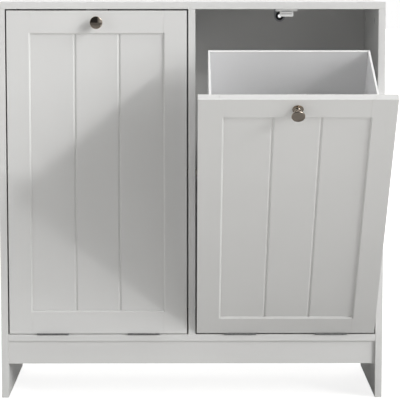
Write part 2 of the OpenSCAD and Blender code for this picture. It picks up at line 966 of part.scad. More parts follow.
module bin_edge_band(side) {
    color(white_plastic)
    on_door(side) {
        for (x = [-bin_in - bin_t, bin_in])
            translate([x, 0, 0])
                rotate([90, 0, 90]) linear_extrude(height = bin_t) band_outline();
        box(-bin_in, bin_in, bin_y1 - bin_t, bin_y1, rim_back_z - band_t, rim_back_z);
    }
}

module bin_angle_strips(side) {
    color(white_plastic)
    on_door(side) for (end = [0, 1])
        mirror([end, 0, 0]) difference() {
            union() {
                box(bin_in - strip_w, bin_in, door_t, door_t + strip_t, strip_z0, strip_z1);
                box(bin_in - strip_t, bin_in, door_t, door_t + strip_w, strip_z0, strip_z1);
            }
            at_strip_screws() flush_screw_hole(short_screw_l);
            at_rivets() rivet_hole();
        }
}

top_panel();
side_panel(-1);  // left_side_panel
side_panel(1);  // right_side_panel
center_divider();
bottom_panel();
front_plinth();
back_panel();
cam_locks();
cam_bolts();
wood_dowels();
back_panel_nails();
catch_housing(-1);  // left_catch_housing
catch_housing(1);  // right_catch_housing
catch_magnets();
catch_pole_plates();
carcass_screws();
wall_brackets();
wall_bracket_washers();
hinge_frame_leaves();
hinge_pins();
stay_pins();
stay_sleeves();

stile(-1, -1);  // left_door_left_stile
stile(-1, 1);  // left_door_right_stile
rail(-1, 1);  // left_door_top_rail
rail(-1, -1);  // left_door_bottom_rail
door_panel(-1);  // left_door_panel
knob(-1);  // left_knob
knob_screw(-1);  // left_knob_screw
strike_plate(-1);  // left_strike_plate
door_hinge_leaves(-1);  // left_door_hinge_leaves
door_stay(-1, -1);  // left_door_left_stay
door_stay(-1, 1);  // left_door_right_stay
door_fasteners(-1);  // left_door_fasteners
bin_side(-1, -1);  // left_bin_left_side
bin_side(-1, 1);  // left_bin_right_side
bin_back(-1);  // left_bin_back
bin_base(-1);  // left_bin_base
bin_edge_band(-1);  // left_bin_edge_band
bin_angle_strips(-1);  // left_bin_angle_strips

stile(1, -1);  // right_door_left_stile
stile(1, 1);  // right_door_right_stile
rail(1, 1);  // right_door_top_rail
rail(1, -1);  // right_door_bottom_rail
door_panel(1);  // right_door_panel
knob(1);  // right_knob
knob_screw(1);  // right_knob_screw
strike_plate(1);  // right_strike_plate
door_hinge_leaves(1);  // right_door_hinge_leaves
door_stay(1, -1);  // right_door_left_stay
door_stay(1, 1);  // right_door_right_stay
door_fasteners(1);  // right_door_fasteners
bin_side(1, -1);  // right_bin_left_side
bin_side(1, 1);  // right_bin_right_side
bin_back(1);  // right_bin_back
bin_base(1);  // right_bin_base
bin_edge_band(1);  // right_bin_edge_band
bin_angle_strips(1);  // right_bin_angle_strips
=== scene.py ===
"""The looks of a two-compartment cabinet with tilt-out doors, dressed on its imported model.

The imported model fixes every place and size. Lengths are metres: X runs to the right, Y to the back and
Z up. The doors face -Y, the left one is closed and the right one stands open against its stays.
"""

import json
import logging
import math
from dataclasses import dataclass
from enum import Enum
from functools import cache
from typing import Iterable, Sequence

import bmesh
import bpy
from mathutils import Matrix, Vector


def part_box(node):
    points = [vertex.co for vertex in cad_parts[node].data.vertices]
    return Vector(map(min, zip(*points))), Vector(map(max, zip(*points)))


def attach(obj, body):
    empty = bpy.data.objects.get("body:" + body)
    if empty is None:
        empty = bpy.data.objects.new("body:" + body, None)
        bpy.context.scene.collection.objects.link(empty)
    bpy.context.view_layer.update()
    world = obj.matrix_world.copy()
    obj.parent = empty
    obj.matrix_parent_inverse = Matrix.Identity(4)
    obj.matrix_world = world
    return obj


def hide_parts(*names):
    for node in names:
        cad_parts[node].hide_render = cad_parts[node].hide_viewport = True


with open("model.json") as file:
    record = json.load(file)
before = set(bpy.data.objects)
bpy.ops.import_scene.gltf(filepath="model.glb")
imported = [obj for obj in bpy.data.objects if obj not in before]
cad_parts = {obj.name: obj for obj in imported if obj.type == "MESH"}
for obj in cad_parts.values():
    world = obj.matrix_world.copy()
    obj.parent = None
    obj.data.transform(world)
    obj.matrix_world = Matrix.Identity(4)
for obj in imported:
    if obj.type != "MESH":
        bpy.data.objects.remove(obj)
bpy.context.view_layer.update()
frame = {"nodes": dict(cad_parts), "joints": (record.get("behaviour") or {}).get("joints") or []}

Colour = tuple[float, float, float]
Span = tuple[float, float]
Material = bpy.types.Material
Mesh = bpy.types.Mesh
Node = bpy.types.Node
Piece = bpy.types.Object
Shape = bmesh.types.BMesh
Socket = bpy.types.NodeSocket
Sockets = bpy.types.bpy_prop_collection
Tree = bpy.types.NodeTree
Look = tuple[Socket, Socket, Socket]

FLOAT = "NodeSocketFloat"
WHOLE = "NodeSocketInt"
CHOICE = "NodeSocketBool"
VECTOR = "NodeSocketVector"
GEOMETRY = "NodeSocketGeometry"
MATERIAL = "NodeSocketMaterial"

CARCASS = "carcass"
RIM_LAYER = "rim"
LEAD_LAYER = "lead"
WELD = 1e-6
HAIR = 1e-5
DECIMALS = 5
FLAT_ANGLE = math.radians(0.5)
SMOOTH_ANGLE = 40.0
NOISE_SPAN = (0.3, 0.7)
NOISE_CORE = (0.35, 0.65)
WHITE = (1.0, 1.0, 1.0)

log = logging.getLogger("cabinet")


class Slot(Enum):
    """The record's material slots."""

    PAINTED_BOARD = "painted_board"
    BIN_BOARD = "bin_board"
    WHITE_PLASTIC = "white_plastic"
    PALE_NYLON = "pale_nylon"
    ZINC_STEEL = "zinc_steel"
    POLISHED_NICKEL = "polished_nickel"
    FERRITE = "ferrite"
    BEECH = "beech"
    BLACK_RUBBER = "black_rubber"


class Side(Enum):
    """The two compartments, as seen from the front."""

    LEFT = "left"
    RIGHT = "right"

    @property
    def body(self) -> str:
        """Name of the moving body of this side's door."""
        return f"{self.value}_door"

    @property
    def joint(self) -> dict:
        """The record's joint that tilts this side's door."""
        return next(j for j in frame["joints"] if j["child"] == self.body)

    @property
    def place(self) -> Matrix:
        """Carries a point of the closed door to where the door stands at rest.

        Returns:
            The matrix.
        """
        pivot = Vector(self.joint["pos_m"])
        opened = -self.joint["range_deg"][0]
        turn = Matrix.Rotation(math.radians(opened), 4, "X")
        return Matrix.Translation(pivot) @ turn @ Matrix.Translation(-pivot)

    @property
    def middle_x(self) -> float:
        """Where the middle of this side's door lies across the cabinet."""
        return self.joint["pos_m"][0]


# Node trees


def spaced(name: str) -> str:
    """A socket's name, of a keyword with underscores."""
    return name.replace("_", " ")


def of_type(sockets: Sockets, kind: str) -> list[Socket]:
    """Those of a node's sockets that have a type."""
    return [socket for socket in sockets if socket.type == kind]


@dataclass
class Wiring:
    """A node tree while it is being wired. A source is a socket, a node's first output or a plain value."""

    tree: Tree

    def join(self, source: object, target: Socket) -> None:
        """Feeds a socket.

        Args:
            source: The source.
            target: The input socket.
        """
        if isinstance(source, Node):
            source = source.outputs[0]
        if isinstance(source, Socket):
            self.tree.links.new(source, target)
        else:
            target.default_value = source

    def join_in_turn(self, sources: Iterable[object], targets: Iterable[Socket]) -> None:
        """Feeds each socket its own source."""
        for source, target in zip(sources, targets):
            self.join(source, target)

    def feed(self, node: Node, **sources: object) -> Node:
        """Feeds a node's inputs by name.

        Args:
            node: The node.
            **sources: The sources, with underscores for the spaces in the inputs' names.

        Returns:
            The same node.
        """
        for name, source in sources.items():
            self.join(source, node.inputs[spaced(name)])
        return node

    def add(self, kind: str, settings: dict | None = None, *first: object, **sources: object) -> Node:
        """Adds a node and feeds it.

        Args:
            kind: Blender's name of the node type.
            settings: Properties of the node to set.
            *first: Sources of the first inputs in turn.
            **sources: Sources of the inputs by name, as for feed.

        Returns:
            The new node.
        """
        node = self.tree.nodes.new(kind)
        for name, value in (settings or {}).items():
            setattr(node, name, value)
        self.join_in_turn(first, node.inputs)
        return self.feed(node, **sources)

    def group(self, tree: Tree, **sources: object) -> Node:
        """Adds a shared effect."""
        return self.add("ShaderNodeGroup", {"node_tree": tree}, **sources)

    def point(self, **parts: object) -> Node:
        """Makes a vector of its parts X, Y and Z. Those not given are zero."""
        return self.add("ShaderNodeCombineXYZ", **parts)

    def parts(self, vector: Socket) -> Sockets:
        """The sockets of a vector's X, Y and Z."""
        return self.add("ShaderNodeSeparateXYZ", Vector=vector).outputs

    def maths(self, operation: str, result: object, *terms: object) -> Socket:
        """Chains Math nodes of one operation.

        Args:
            operation: The nodes' operation.
            result: The first term.
            *terms: The other terms.

        Returns:
            The result's socket.
        """
        for term in terms:
            result = self.add("ShaderNodeMath", {"operation": operation}, result, term).outputs[0]
        return result

    def times(self, *factors: object) -> Socket:
        """Multiplies its factors."""
        return self.maths("MULTIPLY", *factors)

    def spread(self, value: Socket, span: Span = (0.0, 1.0), low: float = 0.0, high: float = 1.0) -> Socket:
        """Maps a value's span to the range from low to high, clamped."""
        return self.add("ShaderNodeMapRange", None, value, *span, low, high).outputs["Result"]

    def fall(self, value: Socket, span: Span) -> Socket:
        """Maps a value's span to the range from 1 down to 0, clamped."""
        return self.spread(value, span, 1.0, 0.0)

    def blend(self, share: object, start: object, end: object) -> Socket:
        """Mixes two colours.

        Args:
            share: How much of the second colour shows.
            start: The first colour.
            end: The second colour.

        Returns:
            The mixed colour's socket.
        """
        node = self.add("ShaderNodeMix", {"data_type": "RGBA"}, Factor=share)
        self.join_in_turn((start, end), of_type(node.inputs, "RGBA"))
        return of_type(node.outputs, "RGBA")[0]

    def noise(self, place: object, scale: object, detail: float = 2.0) -> Socket:
        """A noise of so many waves to the metre, with its finer layers."""
        return self.add("ShaderNodeTexNoise", Vector=place, Scale=scale, Detail=detail).outputs["Fac"]

    def dressed(self, shape: Node, material: Socket) -> Node:
        """Makes a shape's instances real and sets its material."""
        real = self.add("GeometryNodeRealizeInstances", Geometry=shape)
        return self.add("GeometryNodeSetMaterial", Geometry=real, Material=material)


def new_group(name: str, kind: str, inputs: dict[str, str],
              outputs: dict[str, str]) -> tuple[Wiring, Sockets, Node]:
    """Makes an empty node group with its named sockets.

    Args:
        name: The group's name.
        kind: The node tree's type.
        inputs: Socket type of each input by its name, with underscores for spaces.
        outputs: Socket type of each output by its name.

    Returns:
        The wiring, the group's given sockets and its output node.
    """
    tree = bpy.data.node_groups.new(name, kind)
    for sockets, way in ((inputs, "INPUT"), (outputs, "OUTPUT")):
        for label, socket in sockets.items():
            tree.interface.new_socket(name=spaced(label), in_out=way, socket_type=socket)
    wiring = Wiring(tree)
    return wiring, wiring.add("NodeGroupInput").outputs, wiring.add("NodeGroupOutput")


@cache
def film_group() -> Tree:
    """A coat's fine ripple and its slow change of tone.

    Returns:
        The shader node group.
    """
    wiring, given, end = new_group(
        "Coat film", "ShaderNodeTree", dict(Place=VECTOR, Ripples=FLOAT, Clouds=FLOAT),
        dict(Height=FLOAT, Cloud=FLOAT))
    sag_scale, ripple_share, sag_share = 0.12, 0.35, 0.65
    ripple = wiring.noise(given["Place"], given["Ripples"])
    sag = wiring.noise(given["Place"], wiring.times(given["Ripples"], sag_scale), detail=1.0)
    height = wiring.maths("ADD", wiring.times(ripple, ripple_share), wiring.times(sag, sag_share))
    cloud = wiring.spread(wiring.noise(given["Place"], given["Clouds"], detail=3.0), NOISE_SPAN)
    wiring.feed(end, Height=height, Cloud=cloud)
    return wiring.tree


@cache
def rubbed_group() -> Tree:
    """Where an edge is rubbed, broken up along its length.

    Returns:
        The shader node group.
    """
    wiring, given, end = new_group(
        "Rubbed edges", "ShaderNodeTree", dict(Place=VECTOR, Rim=FLOAT, Amount=FLOAT, Breaks=FLOAT),
        dict(Mask=FLOAT))
    whole_to_bare = (0.42, 0.62)
    broken = wiring.spread(wiring.noise(given["Place"], given["Breaks"], detail=4.0), whole_to_bare)
    wiring.feed(end, Mask=wiring.times(broken, given["Rim"], given["Amount"]))
    return wiring.tree


@cache
def dust_group() -> Tree:
    """Fine dust on faces that look up.

    Returns:
        The shader node group.
    """
    wiring, given, end = new_group(
        "Settled dust", "ShaderNodeTree", dict(Place=VECTOR, Facing=VECTOR, Amount=FLOAT), dict(Mask=FLOAT))
    steep_to_level, speck_span = (0.55, 0.95), (0.4, 0.7)
    patch_scale, thinnest_patch, speck_scale, faintest_speck = 9.0, 0.35, 1400.0, 0.6
    upward = wiring.spread(wiring.parts(given["Facing"])["Z"], steep_to_level)
    patches = wiring.noise(given["Place"], patch_scale, detail=4.0)
    specks = wiring.noise(given["Place"], speck_scale, detail=1.0)
    shown = wiring.times(wiring.spread(specks, speck_span, faintest_speck), given["Amount"])
    wiring.feed(end, Mask=wiring.times(upward, wiring.spread(patches, NOISE_SPAN, thinnest_patch), shown))
    return wiring.tree


@cache
def drawn_group() -> Tree:
    """Fine lines that rolling, drawing or growth leaves along one direction.

    Returns:
        The shader node group.
    """
    wiring, given, end = new_group(
        "Drawn lines", "ShaderNodeTree", dict(Place=VECTOR, Squeeze=VECTOR, Lines=FLOAT),
        dict(Height=FLOAT, Tone=FLOAT))
    broad_scale = 0.2
    squeezed = wiring.add("ShaderNodeVectorMath", {"operation": "MULTIPLY"},
                          given["Place"], given["Squeeze"])
    lines = wiring.noise(squeezed, given["Lines"], detail=3.0)
    broad = wiring.noise(squeezed, wiring.times(given["Lines"], broad_scale))
    mean = wiring.times(wiring.maths("ADD", lines, broad), 0.5)
    wiring.feed(end, Height=lines, Tone=wiring.spread(mean, NOISE_CORE))
    return wiring.tree


def emptied(owner: Material | bpy.types.World) -> Wiring:
    """Empties a material's or a world's node tree.

    Args:
        owner: The material or the world.

    Returns:
        The tree's wiring.
    """
    owner.use_nodes = True
    owner.node_tree.nodes.clear()
    return Wiring(owner.node_tree)


# Finishes


def opaque(colour: Colour, factor: float = 1.0) -> tuple[float, float, float, float]:
    """The colour times a factor, with full alpha."""
    return (colour[0] * factor, colour[1] * factor, colour[2] * factor, 1.0)


@dataclass
class Coat(Wiring):
    """A finish's material while it is being wired, with the place that its patterns are read at."""

    finish: "Finish"
    place: Socket

    def film(self, ripples: float, clouds: float) -> Sockets:
        """The sockets of a film's height and of its clouds."""
        return self.group(film_group(), Place=self.place, Ripples=ripples, Clouds=clouds).outputs

    def drawn(self, squeeze: Colour, lines: float) -> Sockets:
        """The sockets of the drawn lines' height and tone."""
        return self.group(drawn_group(), Place=self.place, Squeeze=squeeze, Lines=lines).outputs

    def toned(self, pattern: Socket, low: float, high: float) -> Socket:
        """The finish's colour times low where the pattern is 0, and times high where it is 1."""
        return self.blend(pattern, opaque(self.finish.colour, low), opaque(self.finish.colour, high))

    def dulled(self, pattern: Socket, change: Span, span: Span = (0.0, 1.0)) -> Socket:
        """The finish's roughness with its change from the start to the end of the pattern's span."""
        base = self.finish.roughness
        return self.spread(pattern, span, base + change[0], base + change[1])

    def worn(self, tone: Socket, bare: Colour, factor: float = 1.0) -> Socket:
        """Lets another colour show where an edge is rubbed.

        Args:
            tone: The colour elsewhere.
            bare: The colour of the rubbed edge.
            factor: What that colour is multiplied by.

        Returns:
            The colour's socket.
        """
        rim = self.add("ShaderNodeAttribute", {"attribute_name": RIM_LAYER}).outputs["Fac"]
        mask = self.group(rubbed_group(), Place=self.place, Rim=rim, Amount=self.finish.wear,
                          Breaks=self.finish.wear_breaks)
        return self.blend(mask, tone, opaque(bare, factor))

    def dusty(self, tone: Socket, dust: Colour, amount: float) -> Socket:
        """Lays dust on the faces that look up.

        Args:
            tone: The colour below.
            dust: The dust's colour.
            amount: How much of it shows at the most.

        Returns:
            The colour's socket.
        """
        facing = self.add("ShaderNodeNewGeometry").outputs["Normal"]
        mask = self.group(dust_group(), Place=self.place, Facing=facing, Amount=amount)
        return self.blend(mask, tone, opaque(dust))


@dataclass(frozen=True)
class Finish:
    """A finish and its material. Each subclass wires its own look."""

    slot: Slot
    colour: Colour
    roughness: float = 0.4
    metallic: float = 0.0
    shine: float = 0.5
    depth: float = 0.00002
    wear: float = 0.5
    wear_breaks: float = 200.0

    def look(self, coat: Coat) -> Look:
        """Wires the patterns, and returns the sockets of colour, roughness and height."""
        raise NotImplementedError

    def material(self) -> Material:
        """Builds the material.

        Returns:
            The material.
        """
        material = bpy.data.materials.new(self.slot.value)
        wiring = emptied(material)
        coat = Coat(wiring.tree, self, wiring.add("ShaderNodeTexCoord").outputs["Object"])
        colour, roughness, height = self.look(coat)
        raised = coat.add("ShaderNodeBump", Height=height, Distance=self.depth, Strength=1.0)
        shader = coat.add("ShaderNodeBsdfPrincipled", Base_Color=colour, Roughness=roughness, Normal=raised,
                          Metallic=self.metallic, Specular_IOR_Level=self.shine)
        coat.add("ShaderNodeOutputMaterial", Surface=shader)
        return material


@dataclass(frozen=True)
class SatinPaint(Finish):
    """White paint sprayed on board: a fine ripple, faint clouds and edges that lost a little paint."""

    depth: float = 0.00003
    wear: float = 0.35
    wear_breaks: float = 45.0
    ripples: float = 700.0
    clouds: float = 4.0
    tones: Span = (0.985, 1.015)
    dulling: Span = (-0.03, 0.05)
    rubbed: Colour = (0.6, 0.585, 0.55)
    grime: Colour = (0.55, 0.54, 0.52)
    grime_share: float = 0.08

    def look(self, coat: Coat) -> Look:
        """Wires the paint.

        Args:
            coat: The material's wiring.

        Returns:
            The sockets of colour, roughness and height.
        """
        height, cloud = coat.film(self.ripples, self.clouds)
        worn = coat.worn(coat.toned(cloud, *self.tones), self.rubbed)
        return coat.dusty(worn, self.grime, self.grime_share), coat.dulled(cloud, self.dulling), height


@dataclass(frozen=True)
class Melamine(Finish):
    """Pressed white melamine: a tight pebble and a faint fleck."""

    wear: float = 0.4
    wear_breaks: float = 60.0
    pebbles: float = 1600.0
    clouds: float = 3.0
    tones: Span = (0.99, 1.01)
    dulling: Span = (-0.03, 0.04)
    core: Colour = (0.6, 0.58, 0.56)
    flecks: float = 2600.0
    fleck_span: Span = (0.28, 0.36)
    fleck_cover: float = 0.97

    def look(self, coat: Coat) -> Look:
        """Wires the melamine.

        Args:
            coat: The material's wiring.

        Returns:
            The sockets of colour, roughness and height.
        """
        height, cloud = coat.film(self.pebbles, self.clouds)
        flecks = coat.noise(coat.place, self.flecks, detail=1.0)
        cover = coat.spread(flecks, self.fleck_span, self.fleck_cover)
        flecked = coat.blend(cover, opaque(self.core), coat.toned(cloud, *self.tones))
        return coat.worn(flecked, self.core), coat.dulled(cloud, self.dulling), height


@dataclass(frozen=True)
class Moulded(Finish):
    """A moulded plastic or rubber: a spark-eroded grain and duller edges."""

    grain: float = 2200.0
    clouds: float = 25.0
    tones: Span = (0.97, 1.02)
    dulling: Span = (-0.06, 0.06)
    edge_factor: float = 0.9

    def look(self, coat: Coat) -> Look:
        """Wires the moulding.

        Args:
            coat: The material's wiring.

        Returns:
            The sockets of colour, roughness and height.
        """
        height, cloud = coat.film(self.grain, self.clouds)
        worn = coat.worn(coat.toned(cloud, *self.tones), self.colour, self.edge_factor)
        return worn, coat.dulled(height, self.dulling, NOISE_SPAN), height


@dataclass(frozen=True)
class ZincPlate(Finish):
    """Bright zinc on pressed steel: drawing lines, a mottled plating and polished edges."""

    wear: float = 0.8
    wear_breaks: float = 300.0
    lines: float = 1800.0
    squeeze: Colour = (0.06, 1.0, 1.0)
    line_share: float = 0.25
    line_factor: float = 0.8
    line_dulling: Span = (-0.04, 0.04)
    mottles: float = 160.0
    mottle_colour: Colour = (0.42, 0.42, 0.44)
    mottle_dulling: Span = (0.06, -0.06)
    edge_factor: float = 1.25

    def look(self, coat: Coat) -> Look:
        """Wires the plating.

        Args:
            coat: The material's wiring.

        Returns:
            The sockets of colour, roughness and height.
        """
        height, line = coat.drawn(self.squeeze, self.lines)
        mottle = coat.spread(coat.noise(coat.place, self.mottles, detail=4.0), NOISE_CORE)
        tone = coat.blend(mottle, opaque(self.mottle_colour), opaque(self.colour))
        lined = coat.blend(coat.times(line, self.line_share), tone, opaque(self.colour, self.line_factor))
        rough = coat.maths("ADD", coat.dulled(mottle, self.mottle_dulling),
                           coat.spread(line, (0.0, 1.0), *self.line_dulling))
        return coat.worn(lined, self.colour, self.edge_factor), rough, height


@dataclass(frozen=True)
class PolishedMetal(Finish):
    """Polished nickel: near mirror, with handling haze and hair-fine polishing lines."""

    depth: float = 0.000002
    wear_breaks: float = 400.0
    smears: float = 130.0
    smear_span: Span = (0.45, 0.7)
    smear_share: float = 0.5
    smear_factor: float = 0.86
    smear_dulling: Span = (0.0, 0.1)
    lines: float = 5200.0
    squeeze: Colour = (1.0, 1.0, 0.1)
    line_dulling: Span = (0.0, 0.03)
    edge_factor: float = 1.15

    def look(self, coat: Coat) -> Look:
        """Wires the polished metal.

        Args:
            coat: The material's wiring.

        Returns:
            The sockets of colour, roughness and height.
        """
        height, line = coat.drawn(self.squeeze, self.lines)
        smear = coat.spread(coat.noise(coat.place, self.smears, detail=4.0), self.smear_span)
        tone = coat.toned(coat.times(smear, self.smear_share), 1.0, self.smear_factor)
        rough = coat.maths("ADD", coat.dulled(smear, self.smear_dulling),
                           coat.spread(line, (0.0, 1.0), *self.line_dulling))
        return coat.worn(tone, self.colour, self.edge_factor), rough, height


@dataclass(frozen=True)
class TurnedBeech(Finish):
    """Beech dowel: long grain with short dark rays."""

    depth: float = 0.00008
    lines: float = 900.0
    squeeze: Colour = (1.0, 1.0, 0.12)
    tones: Span = (0.85, 1.1)
    dulling: Span = (0.0, -0.12)
    ray: Colour = (0.34, 0.2, 0.1)
    ray_share: float = 0.6
    ray_span: Span = (0.36, 0.44)

    def look(self, coat: Coat) -> Look:
        """Wires the wood.

        Args:
            coat: The material's wiring.

        Returns:
            The sockets of colour, roughness and height.
        """
        height, grain = coat.drawn(self.squeeze, self.lines)
        rays = coat.times(coat.fall(height, self.ray_span), self.ray_share)
        rayed = coat.blend(rays, coat.toned(grain, *self.tones), opaque(self.ray))
        return rayed, coat.dulled(grain, self.dulling), height


FINISHES: dict[Slot, Finish] = {
    finish.slot: finish
    for finish in (
        SatinPaint(Slot.PAINTED_BOARD, (0.722, 0.721, 0.711), roughness=0.45, shine=0.35),
        Melamine(Slot.BIN_BOARD, (0.85, 0.85, 0.855), roughness=0.42),
        Moulded(Slot.WHITE_PLASTIC, (0.9, 0.9, 0.89), roughness=0.45),
        Moulded(Slot.PALE_NYLON, (0.7, 0.68, 0.61), roughness=0.5),
        ZincPlate(Slot.ZINC_STEEL, (0.54, 0.54, 0.55), roughness=0.42, metallic=1.0),
        PolishedMetal(Slot.POLISHED_NICKEL, (0.62, 0.545, 0.465), roughness=0.07, metallic=1.0),
        Moulded(Slot.FERRITE, (0.05, 0.05, 0.055), roughness=0.6, grain=3000.0),
        TurnedBeech(Slot.BEECH, (0.56, 0.38, 0.2), roughness=0.6),
        Moulded(Slot.BLACK_RUBBER, (0.02, 0.02, 0.021), roughness=0.62, edge_factor=1.8),
    )
}

# The back panel's copy of the bin board is darker than the bins. Partly this is the carcass's own warm
# white, and partly it is painted shade that deepens the cabinet's dim interior.
BACK_BOARD_TONE_AND_SHADE = Melamine(Slot.BIN_BOARD, (0.73, 0.727, 0.715), roughness=0.5)


@cache
def material_of(finish: Finish) -> Material:
    """The finish's material, made once."""
    return finish.material()


# Meshes


def node_mesh(node: str) -> Shape:
    """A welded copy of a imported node's mesh, with its flat faces whole.

    Args:
        node: The node's name.

    Returns:
        The copy.
    """
    bm = bmesh.new()
    bm.from_mesh(frame["nodes"][node].data)
    bmesh.ops.remove_doubles(bm, verts=bm.verts, dist=WELD)
    bmesh.ops.dissolve_degenerate(bm, edges=bm.edges, dist=WELD)
    bmesh.ops.dissolve_limit(bm, angle_limit=FLAT_ANGLE, verts=bm.verts, edges=bm.edges)
    return bm


def box_of(points: Iterable[Vector]) -> tuple[Vector, Vector]:
    """The lowest and the highest corner of the box round some points."""
    axes = list(zip(*points))
    return Vector([min(axis) for axis in axes]), Vector([max(axis) for axis in axes])


def mesh_from(bm: Shape, place: Matrix = Matrix.Identity(4)) -> Mesh:
    """Turns a bmesh into a mesh, and frees it.

    Args:
        bm: The bmesh.
        place: Where it goes.

    Returns:
        The mesh.
    """
    bm.transform(place)
    mesh = bpy.data.meshes.new("shape")
    bm.to_mesh(mesh)
    bm.free()
    return mesh


def pour(mesh: Mesh, into: Shape) -> None:
    """Adds a mesh to a bmesh, and deletes the mesh."""
    into.from_mesh(mesh)
    bpy.data.meshes.remove(mesh)


def stood(name: str, data: bpy.types.ID) -> Piece:
    """Stands a new object in the scene.

    Args:
        name: The object's name.
        data: Its mesh, light or camera.

    Returns:
        The object.
    """
    made = bpy.data.objects.new(name, data)
    bpy.context.scene.collection.objects.link(made)
    return made


def lathe(outline: Sequence[Span], steps: int) -> Shape:
    """Turns an outline about Z.

    Args:
        outline: Distance from the axis and height of each point, from one end of the axis to the other, or
            a closed ring where it starts and ends away from the axis.
        steps: Facets round the axis.

    Returns:
        The turned mesh.
    """
    bm = bmesh.new()
    rings = []
    for radius, height in outline:
        angles = [math.tau * step / steps for step in range(steps if radius >= WELD else 1)]
        rings.append([bm.verts.new((radius * math.cos(a), radius * math.sin(a), height)) for a in angles])
    pairs = list(zip(rings, rings[1:]))
    if len(rings[0]) > 1 and len(rings[-1]) > 1:
        pairs.append((rings[-1], rings[0]))
    for low, high in pairs:
        for step in range(steps):
            corners = (low, step), (low, step + 1), (high, step + 1), (high, step)
            whole = list(dict.fromkeys(ring[place % len(ring)] for ring, place in corners))
            if len(whole) > 2:
                bm.faces.new(whole)
    bmesh.ops.recalc_face_normals(bm, faces=bm.faces)
    return bm


def arc(centre: Span, radius: float, start: float, end: float, steps: int) -> list[Span]:
    """The points of an arc of so many chords, between two angles in degrees, both ends included."""
    angles = [math.radians(start + (end - start) * step / steps) for step in range(steps + 1)]
    return [(centre[0] + radius * math.cos(a), centre[1] + radius * math.sin(a)) for a in angles]


@dataclass(frozen=True)
class Easing:
    """How outward edges are rounded. Those shorter than shortest or blunter than sharp stay as they are."""

    radius: float
    shortest: float = 0.01
    segments: int = 3
    sharp: float = 30.0

    def ease(self, bm: Shape) -> None:
        """Rounds the edges, and marks the new faces on the rim layer.

        Args:
            bm: The mesh.
        """
        rim = bm.faces.layers.float.get(RIM_LAYER) or bm.faces.layers.float.new(RIM_LAYER)
        edges = [
            edge for edge in bm.edges
            if len(edge.link_faces) == 2 and edge.is_convex
            and edge.calc_length() >= self.shortest
            and edge.calc_face_angle(0.0) > math.radians(self.sharp)
        ]
        made = bmesh.ops.bevel(bm, geom=edges, offset=self.radius, offset_type="OFFSET",
                               segments=self.segments, profile=0.5, affect="EDGES", clamp_overlap=True)
        for face in made["faces"]:
            face[rim] = 1.0


def set_piece(node: str, mesh: Mesh, body: str, slot: Slot, soft_angle: float = SMOOTH_ANGLE,
              finish: Finish | None = None) -> Piece:
    """Args:
        node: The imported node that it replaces.
        mesh: Its mesh, in its place.
        body: The body that it rides on.
        slot: The record's slot of its finish.
        soft_angle: Edges blunter than this, in degrees, are shaded smooth.
        finish: Its finish, where that isn't the slot's usual one.

    Returns:
        The piece.
    """
    mesh.name = f"{node}_finished"
    mesh.materials.clear()
    mesh.materials.append(material_of(finish or FINISHES[slot]))
    mesh.shade_smooth()
    mesh.set_sharp_from_angle(angle=math.radians(soft_angle))
    piece = stood(mesh.name, mesh)
    piece.modifiers.new("flat faces stay flat", "WEIGHTED_NORMAL").keep_sharp = True
    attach(piece, body)
    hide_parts(node)
    log.info("%s rides on %s, %d faces", piece.name, body, len(mesh.polygons))
    return piece


def eased_piece(node: str, body: str, slot: Slot, easing: Easing, finish: Finish | None = None) -> Piece:
    """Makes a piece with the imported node's shape and rounded edges.

    Args:
        node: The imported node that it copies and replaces.
        body: The body that it rides on.
        slot: The record's slot of its finish.
        easing: How its edges are rounded.
        finish: Its finish, where that isn't the slot's usual one.

    Returns:
        The piece.
    """
    bm = node_mesh(node)
    easing.ease(bm)
    return set_piece(node, mesh_from(bm), body, slot, finish=finish)


def dress_node(node: str, slot: Slot) -> None:
    """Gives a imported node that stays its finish.

    Args:
        node: The node's name.
        slot: The record's slot of its finish.
    """
    mesh = frame["nodes"][node].data
    mesh.materials.clear()
    mesh.materials.append(material_of(FINISHES[slot]))
    log.info("%s stays as packed, dressed in %s", node, slot.value)


def grown_mesh(base: Mesh, tree: Tree, **values: object) -> Mesh:
    """Runs a geometry tree on a mesh and returns the result as a plain mesh.

    Args:
        base: The mesh that goes in.
        tree: The geometry tree.
        **values: Its inputs by name, with underscores for spaces.

    Returns:
        The new mesh.
    """
    holder = stood("holder", base)
    modifier = holder.modifiers.new("grow", "NODES")
    modifier.node_group = tree
    sockets = {item.name: item.identifier for item in tree.interface.items_tree if item.in_out == "INPUT"}
    for name, value in values.items():
        modifier[sockets[spaced(name)]] = value
    graph = bpy.context.evaluated_depsgraph_get()
    grown = bpy.data.meshes.new_from_object(
        holder.evaluated_get(graph), preserve_all_data_layers=True, depsgraph=graph)
    holder.modifiers.clear()
    bpy.data.objects.remove(holder)
    bpy.data.meshes.remove(base)
    return grown


# Fasteners


